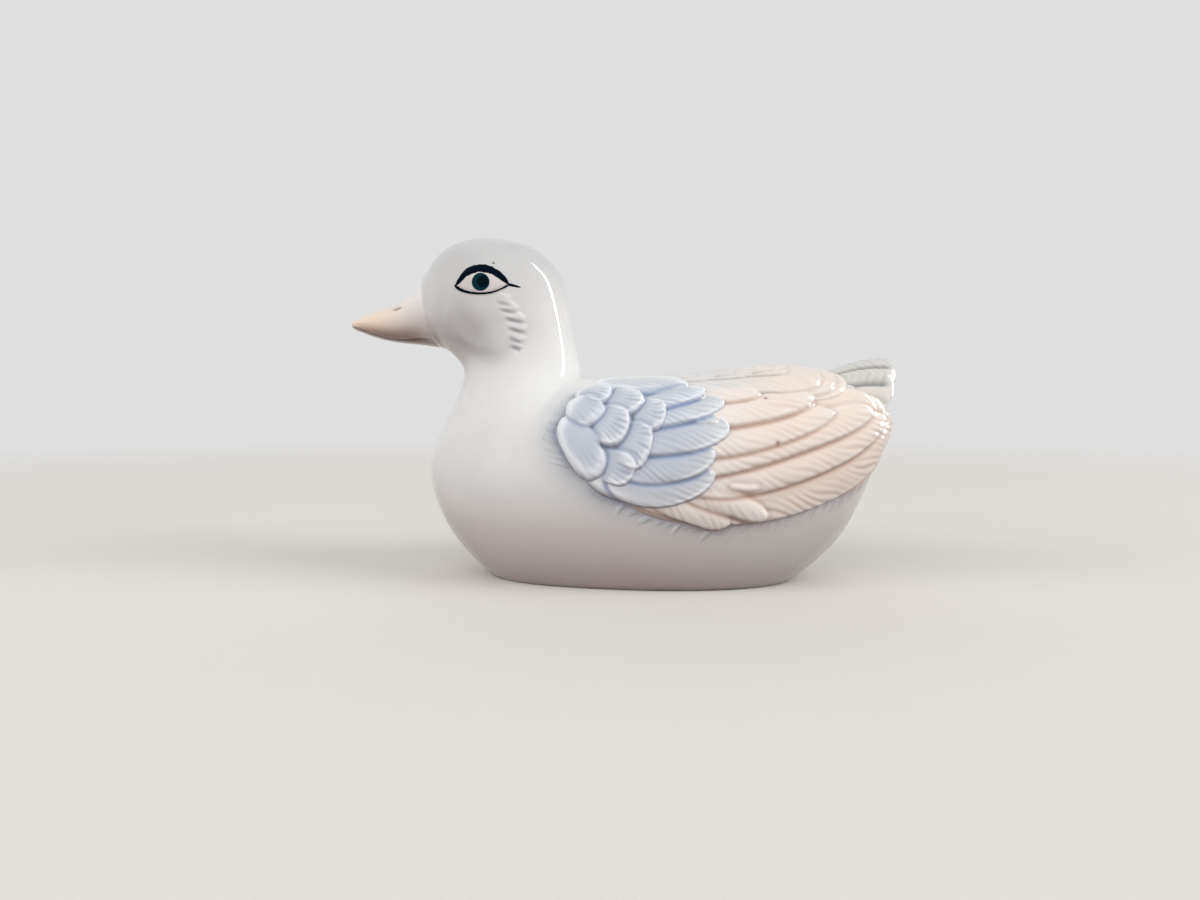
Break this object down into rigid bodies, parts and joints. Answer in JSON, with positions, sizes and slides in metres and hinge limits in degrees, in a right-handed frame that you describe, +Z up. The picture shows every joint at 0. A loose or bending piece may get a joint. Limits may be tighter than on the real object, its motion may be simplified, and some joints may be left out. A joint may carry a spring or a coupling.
{
  "type": "porcelain duck figurine",
  "caption": "Hollow glazed porcelain duck ornament, sitting, with relief wings, an upturned tail and a flat unglazed foot to stand on.",
  "frame": {"origin": "on the table under the middle of the duck's length and width", "axes": "-X toward the bill, +X toward the tail, -Y the duck's own left side, +Z up"},
  "size_m": [0.14, 0.065, 0.0866],
  "materials": {
    "white_glaze": "glossy clear glaze over white porcelain",
    "peach_glaze": "glossy glaze over sprayed peach",
    "eye_enamel": "glossy painted enamel",
    "cream_glaze": "glossy glaze over sprayed cream",
    "blue_glaze": "glossy glaze over sprayed pale blue",
    "grey_glaze": "glossy glaze over sprayed grey"
  },
  "bodies": {
    "root": {"body_shell": "white_glaze", "head_and_neck": "white_glaze", "bill": "peach_glaze", "left_eye": "eye_enamel", "right_eye": "eye_enamel", "left_flight_feathers": "cream_glaze", "right_flight_feathers": "cream_glaze", "left_secondary_coverts": "blue_glaze", "right_secondary_coverts": "blue_glaze", "left_small_coverts": "blue_glaze", "right_small_coverts": "blue_glaze", "back_mantle": "cream_glaze", "tail_fan": "grey_glaze"}
  },
  "joints": []
}
